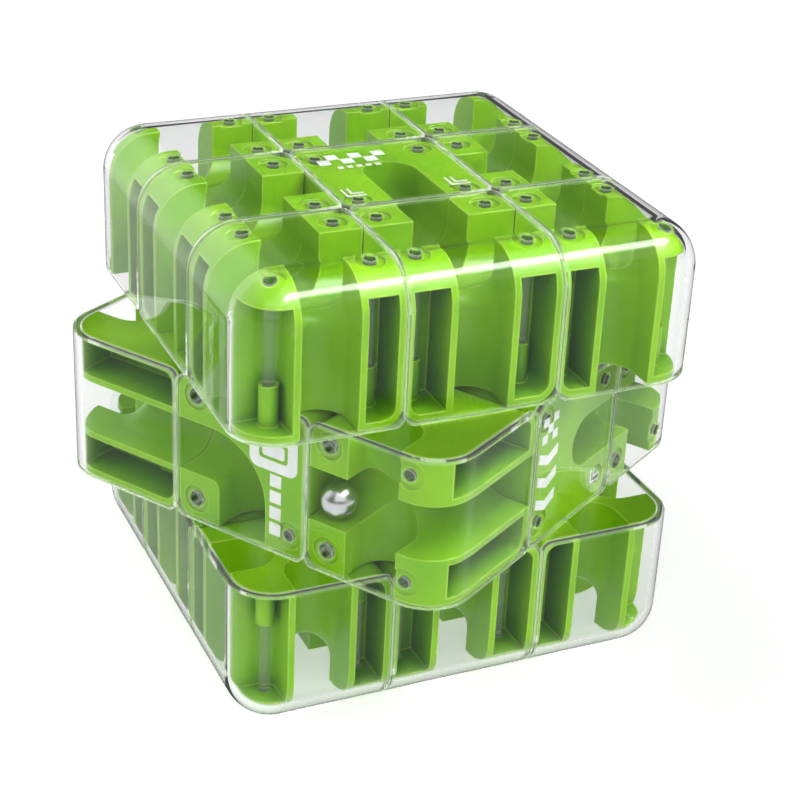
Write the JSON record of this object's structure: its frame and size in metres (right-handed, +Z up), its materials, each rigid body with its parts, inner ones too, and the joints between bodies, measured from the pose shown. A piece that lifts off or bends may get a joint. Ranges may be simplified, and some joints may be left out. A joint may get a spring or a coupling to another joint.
{
  "type": "3d maze ball puzzle",
  "caption": "Turning maze cube: clear covers over lime track blocks, with a steel ball that rolls from cell to cell as layers are turned.",
  "frame": {"origin": "centre of the flat face that the cube stands on, under the turning axis", "axes": "+Z up along the axis that the layers turn about, -Y out of the front of the top and bottom layers, +X to the right"},
  "size_m": [0.0976, 0.0976, 0.075],
  "materials": {
    "clear_cover": "clear, polished",
    "lime_body": "moulded gloss",
    "hub_plastic": "moulded satin",
    "core_plastic": "moulded satin",
    "plated_steel": "zinc plated",
    "polished_steel": "mirror polished"
  },
  "bodies": {
    "middle_layer": {"back_centre_body": "lime_body", "back_centre_cover": "clear_cover", "core": "core_plastic", "front_centre_body": "lime_body", "front_centre_cover": "clear_cover", "hub_screws": "plated_steel", "hub_springs": "plated_steel", "hub_washers": "plated_steel", "left_centre_body": "lime_body", "left_centre_cover": "clear_cover", "middle_back_left_edge_body": "lime_body", "middle_back_left_edge_cover": "clear_cover", "middle_back_right_edge_body": "lime_body", "middle_back_right_edge_cover": "clear_cover", "middle_front_left_edge_body": "lime_body", "middle_front_left_edge_cover": "clear_cover", "middle_front_right_edge_body": "lime_body", "middle_front_right_edge_cover": "clear_cover", "right_centre_body": "lime_body", "right_centre_cover": "clear_cover", "side_hubs": "hub_plastic"},
    "bottom_layer": {"bottom_back_edge_body": "lime_body", "bottom_back_edge_cover": "clear_cover", "bottom_back_left_corner_body": "lime_body", "bottom_back_left_corner_cover": "clear_cover", "bottom_back_right_corner_body": "lime_body", "bottom_back_right_corner_cover": "clear_cover", "bottom_centre_body": "lime_body", "bottom_centre_cover": "clear_cover", "bottom_front_edge_body": "lime_body", "bottom_front_edge_cover": "clear_cover", "bottom_front_left_corner_body": "lime_body", "bottom_front_left_corner_cover": "clear_cover", "bottom_front_right_corner_body": "lime_body", "bottom_front_right_corner_cover": "clear_cover", "bottom_hub": "hub_plastic", "bottom_left_edge_body": "lime_body", "bottom_left_edge_cover": "clear_cover", "bottom_right_edge_body": "lime_body", "bottom_right_edge_cover": "clear_cover"},
    "steel_ball": {"steel_ball": "polished_steel"},
    "top_layer": {"top_back_edge_body": "lime_body", "top_back_edge_cover": "clear_cover", "top_back_left_corner_body": "lime_body", "top_back_left_corner_cover": "clear_cover", "top_back_right_corner_body": "lime_body", "top_back_right_corner_cover": "clear_cover", "top_centre_body": "lime_body", "top_centre_cover": "clear_cover", "top_front_edge_body": "lime_body", "top_front_edge_cover": "clear_cover", "top_front_left_corner_body": "lime_body", "top_front_left_corner_cover": "clear_cover", "top_front_right_corner_body": "lime_body", "top_front_right_corner_cover": "clear_cover", "top_hub": "hub_plastic", "top_left_edge_body": "lime_body", "top_left_edge_cover": "clear_cover", "top_right_edge_body": "lime_body", "top_right_edge_cover": "clear_cover"}
  },
  "joints": [
    {"name": "middle_layer_turn", "type": "hinge", "parent": "bottom_layer", "child": "middle_layer", "pos_m": [0, 0, 0.0375], "axis": [0, 0, 1], "continuous": true},
    {"name": "top_layer_turn", "type": "hinge", "parent": "middle_layer", "child": "top_layer", "pos_m": [0, 0, 0.0375], "axis": [0, 0, 1], "continuous": true},
    {"name": "ball_roll", "type": "slide", "parent": "middle_layer", "child": "steel_ball", "axis": [-0.5299, 0.848, 0], "range_m": [-0.014, 0]}
  ]
}
